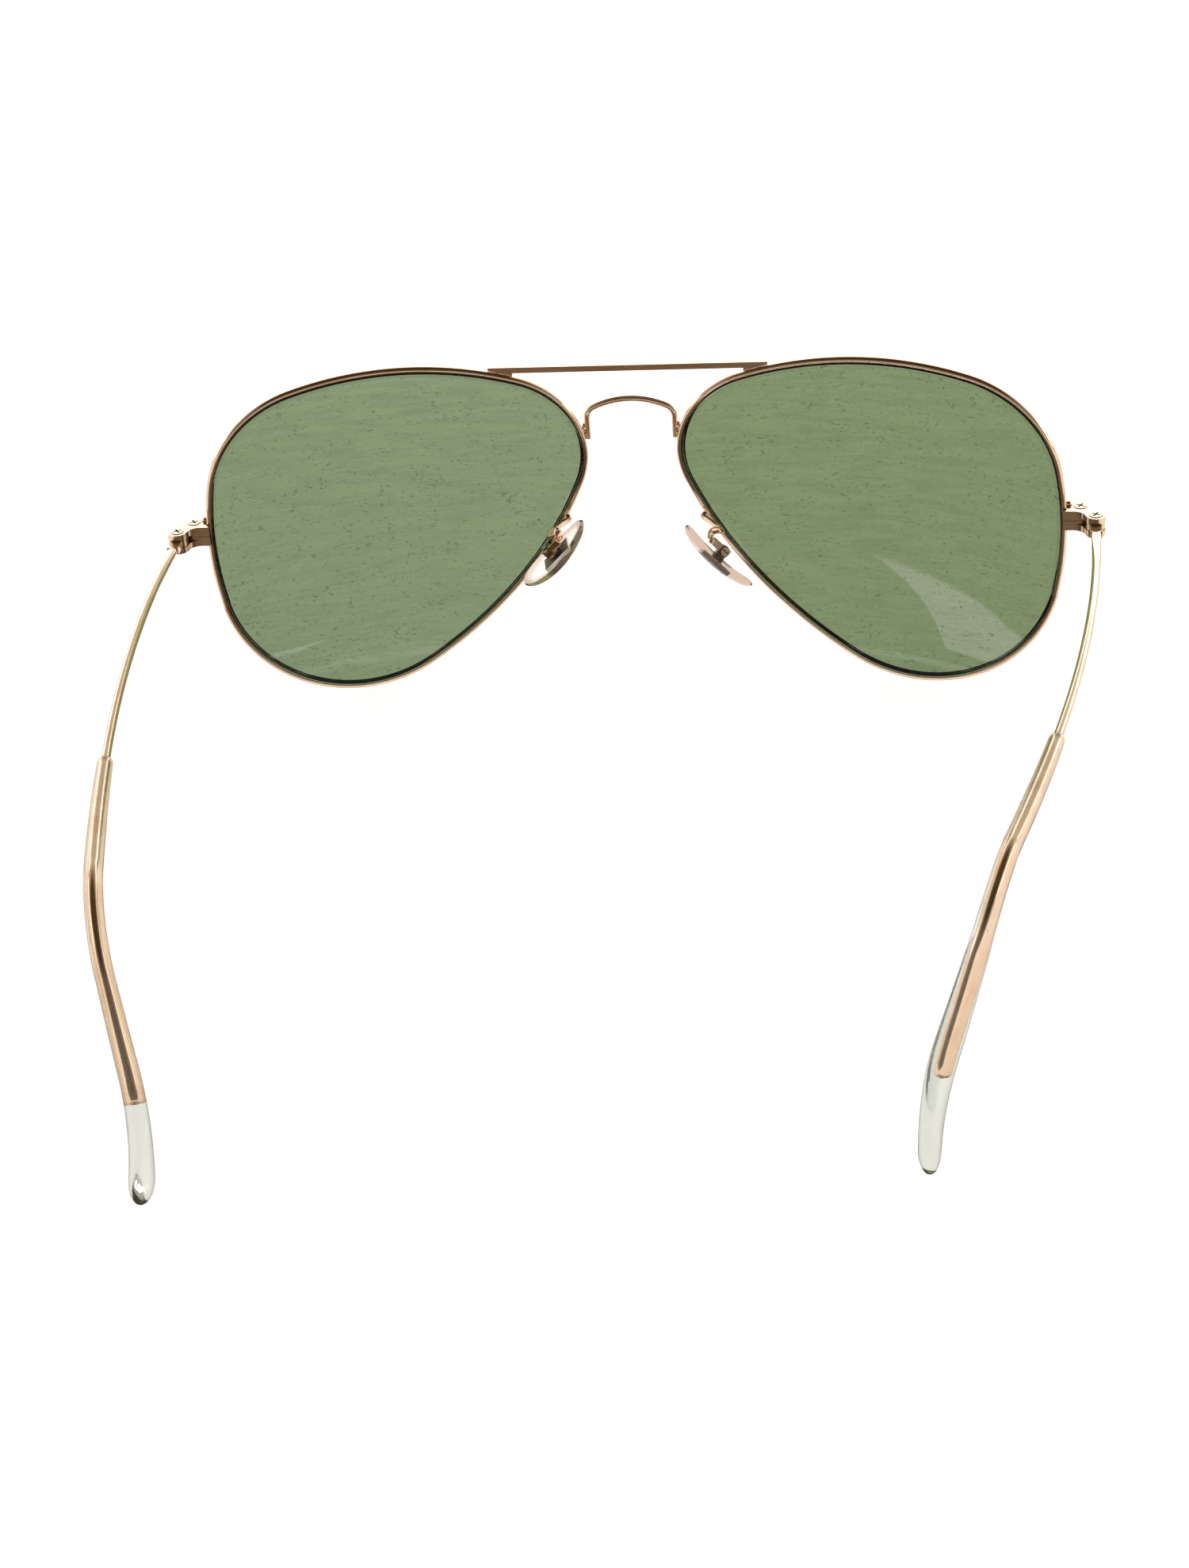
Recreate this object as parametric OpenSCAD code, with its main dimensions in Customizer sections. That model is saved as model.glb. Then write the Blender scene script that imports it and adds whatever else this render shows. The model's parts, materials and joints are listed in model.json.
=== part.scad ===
// Pilot-style wire sunglasses with a straight top bar, an arched bridge, screw-on nose pads,
// split end pieces with three-barrel hinges, and wire temples in clear sleeves.
// Axes: +X to the wearer's left, +Y towards the wearer's ears, +Z up. The glasses stand open
// on the two rims and the two temple tips.

/* [Front] */
// Distance from the middle of the face to each lens centre (mm)
lens_x = 36.6; // [34:0.1:40]
// Base curve radius of the lenses and the rims (mm)
curve_r = 89; // [80:1:120]
// Angle that each lens turns back around the face (deg)
face_wrap = 10.7; // [0:0.1:14]
// Thickness of the glass (mm)
lens_t = 2.0; // [1.6:0.1:2.4]
// Width of the rim wire, seen from the front (mm)
rim_w = 0.85; // [0.7:0.05:1.4]
// Depth of the rim wire, front to back (mm)
rim_d = 1.5; // [1.2:0.1:2.4]
// Depth of the groove that holds the glass (mm)
groove = 0.4; // [0.3:0.05:0.5]
// Length of the top bar (mm)
bar_len = 41.5; // [40:0.1:46]
// Diameter of the bridge wire (mm)
bridge_d = 0.92; // [0.8:0.01:1.2]

/* [Hinges] */
// Distance from the middle of the face to each hinge screw (mm)
hinge_x = 68.35; // [66:0.05:72]
// Height of the end piece (mm)
block_h = 3.1; // [2.6:0.1:3.6]
// Height of the temple's barrel between the two end piece barrels (mm)
barrel_h = 1.1; // [1:0.1:1.6]
// Diameter of the screw heads (mm)
head_d = 2.0; // [1.8:0.1:2.4]

/* [Temples] */
// Outward set of the temple on the wearer's left (deg)
splay_left = 3.5; // [-5:0.1:6]
// Outward set of the temple on the wearer's right (deg)
splay_right = -2.4; // [-5:0.1:6]
// Length along the wire from the hinge to the start of the ear bend (mm)
bend_start = 87; // [80:0.5:95]
// Angle of the ear bend on the wearer's left (deg)
bend_left = 56.8; // [40:0.1:66]
// Angle of the ear bend on the wearer's right (deg)
bend_right = 65.2; // [40:0.1:66]
// Rise of the temple on the wearer's left towards the ear (deg)
rise_left = 0.2; // [-2:0.05:3]
// Rise of the temple on the wearer's right towards the ear (deg)
rise_right = 1.6; // [-2:0.05:3]
// Length along the wire from the hinge to the end of the tip (mm)
temple_len = 130; // [125:1:145]
// Diameter of the temple wire (mm)
wire_d = 1.25; // [1.1:0.05:1.5]
// Length along the wire from the hinge to the mouth of the sleeve (mm)
sleeve_start = 62.1; // [55:0.1:70]

/* [Nose pads] */
// Length of a pad (mm)
pad_len = 14.2; // [12:0.1:16]
// Width of a pad (mm)
pad_w = 6.3; // [5.5:0.1:8]
// Turn of the wearer's left pad about its own length (deg)
pad_turn_left = 13; // [-30:1:30]
// Turn of the wearer's right pad about its own length (deg)
pad_turn_right = -24; // [-30:1:30]

/* [Hidden] */
$fn = 48;

// Height of the front's centre line above the table, how far the face plane stands in front of
// the middle of the whole object, and how far the lens centres lie above the centre line.
centre_z = 26.13;
front_y = -64.14;
lens_up = 0.58;
// Lens outline as tangent arcs, counterclockwise from the outer side: each entry is a radius
// and the direction of the outline's normal where that arc ends.
arcs = [[54, 10.8], [17.3, 76.9], [64.4, 107.3], [13.2, 200.7], [55.6, 241], [20.7, 350.2]];
arc_first = -9.8;
arc_start = [27.74, -8.71];
arc_step = 4;
// End piece, measured from the hinge axis.
hinge_y = 12.75;
hinge_z = 3.9;
lock_at = [-2.0, -2.95];
head_r = 1.5;
seam = 0.06;
slot_h = barrel_h + 0.1;
// Shank radii of the screws and the running clearance of the hinge.
lock_r = 0.55;
hinge_r = 0.6;
run_gap = 0.03;
fit_gap = 0.02;
// Ear bend: its length along the wire.
bend_len = 15.75;
bend_end = bend_start + bend_len;
// Inward bow of a temple, and the outward flick of the last stretch of the tip.
bow = [21, -4.74];
flick = 2.8;
flick_from = 114;
core_end = 118;
// Pad: its centre from the front's centre line, its lean in the face plane and its thickness.
pad_at_left = [11.83, 4.6, -3.99];
pad_at_right = [11.96, 4.6, -5.35];
pad_lean = 43;
pad_t = 1.7;
pad_r = 24;
stem = 2.05;
pin_r = 0.36;

// Points of an arc about c.
function arc(c, r, a0, a1, n) = [
    for (i = [0:n]) let (a = a0 + (a1 - a0) * i / n) [c[0] + r * cos(a), c[1] + r * sin(a)]
];
// Centre of lens arc i, with every radius grown by d.
function arc_from(i) = i == 0 ? arc_first : arcs[i - 1][1];
function arc_centre(i) =
    i == 0
    ? arc_start - arcs[0][0] * [cos(arc_first), sin(arc_first)]
    : arc_centre(i - 1) + (arcs[i - 1][0] - arcs[i][0]) * [cos(arc_from(i)), sin(arc_from(i))];
// Lens outline grown by d.
function outline(d = 0) = [
    for (i = [0:len(arcs) - 1])
        let (a0 = arc_from(i), a1 = arcs[i][1], n = ceil((a1 - a0) / arc_step))
            for (k = [0:n - 1])
                let (a = a0 + (a1 - a0) * k / n)
                    arc_centre(i) + (arcs[i][0] + d) * [cos(a), sin(a)]
];

// Rings of points joined into one closed skin.
function skin_faces(m, n) = concat(
    [[for (j = [0:n - 1]) j]],
    [for (i = [0:m - 2]) for (j = [0:n - 1]) [i * n + j, (i + 1) * n + j, i * n + (j + 1) % n]],
    [for (i = [0:m - 2]) for (j = [0:n - 1])
        [(i + 1) * n + j, (i + 1) * n + (j + 1) % n, i * n + (j + 1) % n]],
    [[for (j = [n - 1:-1:0]) (m - 1) * n + j]]
);
module skin(rings) {
    n = len(rings[0]);
    polyhedron(points = [for (r = rings) for (p = r) p], faces = skin_faces(len(rings), n));
}
function unit(v) = v / norm(v);

module place_lens() {
    translate([lens_x, front_y, centre_z + lens_up])
        rotate([0, 0, face_wrap])
            children();
}
module lens_prism(d) {
    place_lens()
        translate([0, 20, 0])
            rotate([90, 0, 0])
                linear_extrude(30)
                    polygon(outline(d));
}
// Curved sheet of thickness t that follows the base curve.
module curve_sheet(t) {
    place_lens()
        translate([0, curve_r, 0])
            difference() {
                sphere(curve_r + t / 2, $fn = 240);
                sphere(curve_r - t / 2, $fn = 240);
            }
}
module curved_blank(d, t) {
    intersection() {
        lens_prism(d);
        curve_sheet(t);
    }
}
module rim_envelope() {
    difference() {
        curved_blank(rim_w, rim_d);
        lens_prism(0);
    }
}
module handed(side) {
    if (side > 0) children();
    else mirror([1, 0, 0]) children();
}

module rim(side) {
    color([0.80, 0.64, 0.46])
        handed(side)
            difference() {
                curved_blank(rim_w, rim_d);
                lens_prism(0);
                curved_blank(groove, 0.9);
                // The rim is open here, and the end piece closes it.
                translate([hinge_x - 6, front_y + 8, centre_z + hinge_z - seam / 2])
                    cube([4, 6, seam]);
            }
}
module lens(side) {
    color([0.42, 0.52, 0.38, 0.6])
        handed(side) {
            curved_blank(-0.04, lens_t);
            curved_blank(groove - 0.05, 0.8);
        }
}

// Straight bar brazed on top of both rims.
bar_z = 25.1;
bar_h = 0.9;
bar_d = 1.1;
bar_y = 0.75;
foot_x = 17.15;
module top_bar() {
    color([0.78, 0.62, 0.44])
        difference() {
            union() {
                translate([-bar_len / 2, front_y + bar_y, centre_z + bar_z])
                    cube([bar_len, bar_d, bar_h]);
                for (s = [-1, 1])
                    translate([s * (foot_x + 1.6) - 1.6, front_y + bar_y + 0.15, centre_z + 22.8])
                        cube([3.2, bar_d - 0.3, bar_z - 22.8 + bar_h / 2]);
            }
            for (s = [-1, 1])
                handed(s)
                    lens_prism(rim_w);
        }
}

// Bridge wire: two straight legs, two tight corners and one wide arch.
leg_x = 6.6;
leg_low = 13.4;
arch_r = 12.5;
arch_top = 19.8;
corner_r = 1.9;
arch_z = arch_top - arch_r;
corner_z = arch_z + sqrt(pow(arch_r - corner_r, 2) - pow(leg_x - corner_r, 2));
corner_a = acos((leg_x - corner_r) / (arch_r - corner_r));
bridge_line = concat(
    [[leg_x, leg_low]],
    arc([leg_x - corner_r, corner_z], corner_r, 0, corner_a, 6),
    arc([0, arch_z], arch_r, corner_a + 4, 176 - corner_a, 12),
    arc([corner_r - leg_x, corner_z], corner_r, 180 - corner_a, 180, 6),
    [[-leg_x, leg_low]]
);
function line_normal(l, i) =
    let (a = l[max(i - 1, 0)], b = l[min(i + 1, len(l) - 1)], t = unit(b - a)) [t[1], -t[0]];
module bridge() {
    r = bridge_d / 2;
    color([0.80, 0.64, 0.46])
        difference() {
            translate([0, front_y, centre_z]) {
                skin([
                    for (i = [0:len(bridge_line) - 1])
                        let (p = bridge_line[i], n = line_normal(bridge_line, i))
                            [for (k = [0:11]) let (a = 30 * k)
                                [p[0] + n[0] * r * cos(a), r * sin(a), p[1] + n[1] * r * cos(a)]]
                ]);
                // Brazing between each leg and its rim.
                for (s = [-1, 1])
                    translate([s * (leg_x + 0.3), 0, leg_low + 0.5])
                        cylinder(h = 2.1, r = 0.62);
            }
            for (s = [-1, 1])
                handed(s)
                    lens_prism(rim_w);
        }
}

// Plan outline of the end piece, about the hinge axis: flat at the rim, then an S-curve to
// the round head.
s_r = 1.757;
s_at = [-3.2, s_r - 1.15];
block_plan = concat(
    arc([0, 0], head_r, -35, 169, 20),
    arc(s_at, s_r, -11, -90, 9),
    [[-4.6, -1.15], [-4.6, -4.1], [-2.1, -4.25]],
    arc(lock_at, 1.3, -80, -35, 5)
);
module at_hinge(side) {
    handed(side)
        translate([hinge_x, front_y + hinge_y, centre_z + hinge_z])
            children();
}
module at_lock() {
    translate([lock_at[0], lock_at[1], 0])
        children();
}
// Room between the two leaves for the temple's barrel and its neck.
module leaf_slot() {
    translate([0, 0, -slot_h / 2]) {
        cylinder(h = slot_h, r = head_r + 0.3);
        translate([-3.1, -1.1, 0])
            cube([5, 3, slot_h]);
    }
}
module block(z0, z1) {
    difference() {
        translate([0, 0, z0])
            linear_extrude(z1 - z0)
                polygon(block_plan);
        leaf_slot();
        translate([-hinge_x, -front_y - hinge_y, -centre_z - hinge_z]) {
            rim_envelope();
            lens_prism(0);
        }
        translate([0, 0, -block_h])
            cylinder(h = 2 * block_h, r = hinge_r + fit_gap / 2);
        at_lock()
            translate([0, 0, -block_h])
                cylinder(h = 2 * block_h, r = lock_r + fit_gap / 2);
        translate([0, 0, block_h / 2 - 0.45])
            cylinder(h = 1, r = head_d / 2 + fit_gap);
        at_lock()
            translate([0, 0, block_h / 2 - 0.45])
                cylinder(h = 1, r = head_d / 2 + fit_gap);
    }
}
module upper_block(side) {
    color([0.82, 0.67, 0.50])
        at_hinge(side)
            block(seam / 2, block_h / 2);
}
module lower_block(side) {
    color([0.80, 0.64, 0.46])
        at_hinge(side)
            block(-block_h / 2, -seam / 2);
}

// Cheese head with a cross recess, its top just above the end piece.
module screw(r) {
    top = block_h / 2 + 0.1;
    difference() {
        union() {
            translate([0, 0, -block_h / 2])
                cylinder(h = block_h, r = r);
            translate([0, 0, block_h / 2 - 0.43])
                cylinder(h = top - block_h / 2 + 0.43, r = head_d / 2);
        }
        for (a = [35, 125])
            rotate([0, 0, a])
                translate([-0.68, -0.14, top - 0.3])
                    cube([1.36, 0.28, 1]);
    }
}
module lock_screw(side) {
    color([0.84, 0.70, 0.52])
        at_hinge(side)
            at_lock()
                screw(lock_r);
}
module hinge_screw(side) {
    color([0.84, 0.70, 0.52])
        at_hinge(side)
            screw(hinge_r);
}

// Temple line, from the hinge axis: straight, the ear bend, then straight down to the tip.
// The set of a temple is its ear bend and its rise.
function set(side) = side > 0 ? [bend_left, rise_left] : [bend_right, rise_right];
function slope(s, b) = max(0, min(1, (s - bend_start) / bend_len)) * b;
function bend_r(b) = bend_len / (b * PI / 180);
function run(s, b) =
    min(s, bend_start) + bend_r(b) * sin(slope(s, b)) + max(0, s - bend_end) * cos(b);
function drop(s, b) = bend_r(b) * (1 - cos(slope(s, b))) + max(0, s - bend_end) * sin(b);
function bow_in(s) = bow[0] * pow(s / 100, 2) + bow[1] * pow(s / 100, 3);
function out(s) = flick * pow(max(0, s - flick_from) / 16, 2) - bow_in(s);
function line(s, set) = [out(s), run(s, set[0]), run(s, set[0]) * sin(set[1]) - drop(s, set[0])];
// Oval ring across the temple line, w by h half sizes.
function oval(s, set, w, h, n = 12) =
    let (
        p = line(s, set),
        t = unit(line(s + 0.05, set) - line(s - 0.05, set)),
        u = unit(cross(t, [0, 0, 1])),
        v = cross(u, t)
    )
        [for (k = [0:n - 1]) let (a = -360 * k / n) p + u * w * cos(a) + v * h * sin(a)];
function mix(s, s0, s1, a, b) = a + (b - a) * max(0, min(1, (s - s0) / (s1 - s0)));
// Half sizes of the wire: a flat neck, the round wire, and the flattened core in the sleeve.
neck_s = 3.4;
function core_w(s) = mix(s, neck_s, 14, 0.75, wire_d / 2) + mix(s, bend_start, bend_end, 0, -0.12);
function core_h(s) = mix(s, neck_s, 14, 0.5, wire_d / 2) + mix(s, bend_start, bend_end, 0, 0.62);
wire_stations = concat(
    [for (s = [neck_s, 6, 9, 14]) s],
    [for (s = [20:7:bend_start - 4]) s],
    [for (i = [0:8]) bend_start + bend_len * i / 8],
    [109, 112.5, 116, core_end]
);
module at_temple(side) {
    at_hinge(side)
        rotate([0, 0, side > 0 ? -splay_left : -splay_right])
            children();
}
module temple_wire(side) {
    color([0.80, 0.64, 0.46])
        at_temple(side)
            skin([for (s = wire_stations) oval(s, set(side), core_w(s), core_h(s))]);
}
// Middle barrel of the hinge with a short tongue for the wire.
module knuckle(side) {
    color([0.80, 0.64, 0.46])
        at_temple(side)
            difference() {
                translate([0, 0, -barrel_h / 2])
                    union() {
                        cylinder(h = barrel_h, r = head_r - 0.1);
                        translate([-0.85, 0, 0])
                            cube([1.7, neck_s - 0.02, barrel_h]);
                    }
                translate([0, 0, -barrel_h])
                    cylinder(h = 2 * barrel_h, r = hinge_r + run_gap);
            }
}
// Clear sleeve: round, then flattened behind the ear, with the core's hole in its front part.
function sleeve_w(s) = mix(s, sleeve_start, 80, 1.08, 1.22) + mix(s, bend_end, 120, 0, 0.2);
function sleeve_h(s) = mix(s, sleeve_start, 80, 1.08, 1.22) + mix(s, 88, 118, 0, 1.55);
function nose(x) = sqrt(max(0, 1 - x * x));
sleeve_stations = concat(
    [for (s = [sleeve_start + 1.2:6.7:bend_start - 1]) s],
    [for (i = [0:7]) bend_start + bend_len * i / 7],
    [for (s = [109:4.5:temple_len - 6]) s]
);
hole_stations = concat(
    [core_end + 0.1],
    [for (i = [len(wire_stations) - 2:-1:0]) if (wire_stations[i] > sleeve_start + 1) wire_stations[i]],
    [sleeve_start]
);
module temple_tip(side) {
    end_r = 3.2;
    color([0.78, 0.80, 0.74, 0.5])
        at_temple(side)
            skin(concat(
                [for (s = hole_stations) oval(s, set(side), core_w(s) + 0.05, core_h(s) + 0.05)],
                [for (a = [0.72, 0.9, 1])
                    let (s = sleeve_start + 1.2 * (1 - nose(a)))
                        oval(s, set(side), a * sleeve_w(s), a * sleeve_h(s))],
                [for (s = sleeve_stations) oval(s, set(side), sleeve_w(s), sleeve_h(s))],
                [for (a = [0:18:72])
                    let (s = temple_len - end_r * (1 - sin(a)))
                        oval(s, set(side), sleeve_w(s) * cos(a), sleeve_h(s) * cos(a))],
                [oval(temple_len, set(side), 0.25, 0.3)]
            ));
}

// Nose pad frame: x along the screw, y away from the nose, z along the pad.
function pad_at(side) = side > 0 ? pad_at_left : pad_at_right;
function pad_turn(side) = side > 0 ? pad_turn_left : pad_turn_right;
module at_pad(side) {
    handed(side)
        translate(pad_at(side) + [0, front_y, centre_z])
            rotate([0, -pad_lean, 0])
                rotate([0, 0, pad_turn(side) - 90])
                    children();
}
// Egg outline, wider at the low end.
function egg(w, l, n = 40) = [
    for (i = [0:n - 1])
        let (a = 360 * i / n)
            [w / 2 * cos(a) * (1 - 0.16 * sin(a)), l / 2 * sin(a)]
];
module pad_blank(t, w, l) {
    intersection() {
        translate([0, 10, 0])
            rotate([90, 0, 0])
                linear_extrude(20)
                    polygon(egg(w, l));
        translate([0, pad_r, 0])
            difference() {
                sphere(pad_r + t / 2, $fn = 180);
                sphere(pad_r - t / 2, $fn = 180);
            }
    }
}
// Plate inside the pad and the lug that stands out of it.
plate = [2.6, 0.5, 5.4];
lug = [1.0, 1.7];
module insert_solid(gap) {
    translate([-plate[0] / 2 - gap, -plate[1] / 2 - gap, -plate[2] / 2 - gap])
        cube([plate[0] + 2 * gap, plate[1] + 2 * gap, plate[2] + 2 * gap]);
    translate([-lug[0] / 2 - gap, 0, -lug[1] / 2 - gap])
        cube([lug[0] + 2 * gap, stem, lug[1] + 2 * gap]);
    translate([-lug[0] / 2 - gap, stem, 0])
        rotate([0, 90, 0])
            cylinder(h = lug[0] + 2 * gap, r = lug[1] / 2);
}
module nose_pad(side) {
    color([0.90, 0.86, 0.80, 0.5])
        at_pad(side)
            difference() {
                pad_blank(pad_t, pad_w, pad_len);
                insert_solid(0.02);
            }
}
module pad_insert(side) {
    color([0.55, 0.53, 0.52])
        at_pad(side)
            difference() {
                insert_solid(0);
                translate([-2, stem, 0])
                    rotate([0, 90, 0])
                        cylinder(h = 4, r = pin_r + 0.04);
            }
}
// Fork that holds the lug: two cheeks and an end wall that the arm is brazed to.
cheek = 0.38;
fork_in = lug[0] / 2 + 0.08;
fork_y = [stem - 0.5, stem + 0.62];
fork_z = [-0.8, 2.3];
fork_wall = 0.5;
module pad_box(side) {
    color([0.78, 0.62, 0.44])
        at_pad(side)
            difference() {
                translate([-fork_in - cheek, fork_y[0], fork_z[0]])
                    cube([2 * (fork_in + cheek), fork_y[1] - fork_y[0], fork_z[1] - fork_z[0]]);
                translate([-fork_in, stem - 2, fork_z[0] - 1])
                    cube([2 * fork_in, 4, fork_z[1] - fork_z[0] + 1 - fork_wall]);
                translate([-3, stem, 0])
                    rotate([0, 90, 0])
                        cylinder(h = 6, r = pin_r + 0.01);
            }
}
module pad_screw(side) {
    reach = fork_in + cheek;
    color([0.82, 0.68, 0.50])
        at_pad(side)
            translate([0, stem, 0])
                rotate([0, 90, 0])
                    difference() {
                        union() {
                            translate([0, 0, -reach])
                                cylinder(h = 2 * reach + 0.2, r = pin_r);
                            translate([0, 0, -reach - 0.5])
                                cylinder(h = 0.5, r = 0.72);
                        }
                        translate([-1, -0.1, -reach - 0.6])
                            cube([2, 0.2, 0.35]);
                    }
}

// Pad arm: a flat strip from the back of the rim, around a U-bend, to the top of the box.
arm_w = 1.2;
arm_t = 0.5;
function pad_point(p, side) =
    let (
        a = pad_turn(side) - 90,
        q = [p[0] * cos(a) - p[1] * sin(a), p[0] * sin(a) + p[1] * cos(a), p[2]]
    )
        pad_at(side) + [q[0] * cos(pad_lean) - q[2] * sin(pad_lean), q[1],
            q[0] * sin(pad_lean) + q[2] * cos(pad_lean)];
function arm_points(side) = [
    [10.2, 0.6, 0.1], [11.2, 1.4, -0.15], [12.3, 2.6, -0.45], [13.25, 3.8, -0.5],
    pad_point([0, stem + 1.15, 3.3], side), pad_point([0, stem + 0.2, 2.95], side),
    pad_point([0, stem + 0.06, fork_z[1] + 0.08], side)
];
// Smooth curve through the points.
function through(p, i, t) =
    let (
        a = p[max(i - 1, 0)],
        b = p[i],
        c = p[i + 1],
        d = p[min(i + 2, len(p) - 1)]
    )
        0.5 * (2 * b + (c - a) * t + (2 * a - 5 * b + 4 * c - d) * t * t
            + (3 * b - a - 3 * c + d) * t * t * t);
function curve(p, n = 4) = concat(
    [for (i = [0:len(p) - 2]) for (k = [0:n - 1]) through(p, i, k / n)],
    [p[len(p) - 1]]
);
module strip(l, w, t) {
    skin([
        for (i = [0:len(l) - 1])
            let (
                d = unit(l[min(i + 1, len(l) - 1)] - l[max(i - 1, 0)]),
                n = unit(cross(d, [-0.35, 0.1, 1])),
                u = cross(n, d)
            )
                [for (c = [[-1, -0.6], [-0.7, -1], [0.7, -1], [1, -0.6],
                    [1, 0.6], [0.7, 1], [-0.7, 1], [-1, 0.6]])
                    l[i] + u * c[0] * w / 2 + n * c[1] * t / 2]
    ]);
}
module pad_arm(side) {
    color([0.80, 0.64, 0.46])
        difference() {
            handed(side)
                translate([0, front_y, centre_z]) {
                    strip(curve(arm_points(side)), arm_w, arm_t);
                    // Bead of solder at the rim.
                    translate([10.5, 0.45, 0.35])
                        sphere(0.62, $fn = 24);
                }
            handed(side)
                curved_blank(rim_w, rim_d);
        }
}

rim(1);  // rim_left
rim(-1);  // rim_right
lens(1);  // lens_left
lens(-1);  // lens_right
top_bar();
bridge();
upper_block(1);  // upper_block_left
upper_block(-1);  // upper_block_right
lower_block(1);  // lower_block_left
lower_block(-1);  // lower_block_right
lock_screw(1);  // lock_screw_left
lock_screw(-1);  // lock_screw_right
hinge_screw(1);  // hinge_screw_left
hinge_screw(-1);  // hinge_screw_right
knuckle(1);  // knuckle_left
knuckle(-1);  // knuckle_right
temple_wire(1);  // temple_wire_left
temple_wire(-1);  // temple_wire_right
temple_tip(1);  // temple_tip_left
temple_tip(-1);  // temple_tip_right
pad_arm(1);  // pad_arm_left
pad_arm(-1);  // pad_arm_right
pad_box(1);  // pad_box_left
pad_box(-1);  // pad_box_right
pad_screw(1);  // pad_screw_left
pad_screw(-1);  // pad_screw_right
pad_insert(1);  // pad_insert_left
pad_insert(-1);  // pad_insert_right
nose_pad(1);  // nose_pad_left
nose_pad(-1);  // nose_pad_right
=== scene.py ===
"""Looks of the wire sunglasses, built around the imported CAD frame.

Lengths are in mm, apart from the lamps, the floor's reflection zones and the materials' distances, which
are in metres. Points of the front are measured from its centre, FRONT; side is 1 on the wearer's left
and -1 on the right.
"""

import json
import math

import bmesh
import bpy
from mathutils import Matrix, Vector


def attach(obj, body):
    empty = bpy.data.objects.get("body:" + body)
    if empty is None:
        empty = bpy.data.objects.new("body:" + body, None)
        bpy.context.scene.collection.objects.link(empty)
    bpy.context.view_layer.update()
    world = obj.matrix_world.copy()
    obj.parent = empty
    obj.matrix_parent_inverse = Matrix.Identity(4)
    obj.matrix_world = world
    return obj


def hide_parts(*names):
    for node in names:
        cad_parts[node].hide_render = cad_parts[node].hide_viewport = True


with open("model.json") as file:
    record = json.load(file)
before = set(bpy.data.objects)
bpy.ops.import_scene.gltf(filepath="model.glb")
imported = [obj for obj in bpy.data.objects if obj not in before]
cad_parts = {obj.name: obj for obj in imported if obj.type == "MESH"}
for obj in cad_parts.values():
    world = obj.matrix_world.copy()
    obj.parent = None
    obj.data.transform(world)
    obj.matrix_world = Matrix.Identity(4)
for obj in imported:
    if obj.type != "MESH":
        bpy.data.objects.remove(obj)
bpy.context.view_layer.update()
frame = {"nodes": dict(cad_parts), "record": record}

MM = 0.001

# ---------------------------------------------------------------- the object's own measures
# Lens: centre from the middle, radius of its sphere, wrap and height of its centre.
LENS_X, CURVE_R, FACE_WRAP, LENS_UP = 36.6, 89.0, math.radians(10.7), 0.58
LENS_T = 2.0
# Rim wire: width outwards, depth front to back, depth of the groove for the glass.
RIM_W, RIM_D, GROOVE = 0.85, 1.5, 0.4
# Lens outline: radius and end angle of each arc, from the first angle and point.
ARCS = [(54, 10.8), (17.3, 76.9), (64.4, 107.3), (13.2, 200.7), (55.6, 241), (20.7, 350.2)]
ARC_FIRST, ARC_START = -9.8, (27.74, -8.71)
# Hinge screw, from the front's centre; its x is read from the joint.
HINGE_Y, HINGE_Z = 12.75, 3.9
# Temple: lengths along the wire from the hinge.
BEND_START, BEND_LEN = 87.0, 15.75
BEND_END = BEND_START + BEND_LEN
NECK, SLEEVE_START, CORE_END, CORE_TIP, TEMPLE_LEN, END_R = 3.4, 62.1, 118.0, 0.7, 130.0, 3.2
BOW, FLICK, FLICK_FROM = (21.0, -4.74), 2.8, 114.0
# Each temple's ear bend, rise and splay in degrees.
SET = {1: (56.8, 0.2, 3.5), -1: (65.2, 1.6, -2.4)}
# Each pad's place and turn; then the lean, bow radius, thickness, width, length and stem of both.
PAD = {1: ((11.83, 4.6, -3.99), 13.0), -1: ((11.96, 4.6, -5.35), -24.0)}
PAD_LEAN, PAD_R, PAD_T, PAD_W, PAD_LEN, STEM = 43.0, 24.0, 1.7, 6.3, 14.2, 2.05
FORK_TOP = 2.3
# Solder bead where the end piece meets the rim.
BEAD_AT, BEAD_SIZE = (64.65, 9.4, 5.6), (0.52, 0.5, 0.45)

joints = {j["name"]: j for j in frame["record"]["behaviour"]["joints"]}
hinge = Vector(joints["left_temple_fold"]["pos_m"]) / MM
HINGE_X = hinge.x
FRONT = Vector((0.0, hinge.y - HINGE_Y, hinge.z - HINGE_Z))
SIDES = ((1, "left"), (-1, "right"))


def mirror(p, side):
    """The point on its own side of the middle."""
    return Vector((side * p[0], p[1], p[2]))


# ---------------------------------------------------------------- mesh helpers
def make(name, verts, faces, mat, sharp=38.0):
    """A mesh object from mm points in the CAD frame, smooth with creases above the angle."""
    mesh = bpy.data.meshes.new(name)
    mesh.from_pydata([tuple(Vector(v) * MM) for v in verts], [], faces)
    bm = bmesh.new()
    bm.from_mesh(mesh)
    bmesh.ops.recalc_face_normals(bm, faces=bm.faces)
    for face in bm.faces:
        face.smooth = True
    for edge in bm.edges:
        if len(edge.link_faces) == 2:
            edge.smooth = edge.calc_face_angle() < math.radians(sharp)
    bm.to_mesh(mesh)
    bm.free()
    mesh.materials.append(mat)
    piece = bpy.data.objects.new(name, mesh)
    bpy.context.scene.collection.objects.link(piece)
    return piece


def skin(rings, loop=False):
    """Points and faces of a skin over rings of equal length, capped unless it loops."""
    n, m = len(rings[0]), len(rings)
    verts = [p for ring in rings for p in ring]
    faces = []
    for i in range(m if loop else m - 1):
        a, b = i * n, ((i + 1) % m) * n
        for j in range(n):
            k = (j + 1) % n
            faces.append((a + j, b + j, b + k, a + k))
    if not loop:
        faces.append(tuple(range(n)))
        faces.append(tuple((m - 1) * n + j for j in reversed(range(n))))
    return verts, faces


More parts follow.
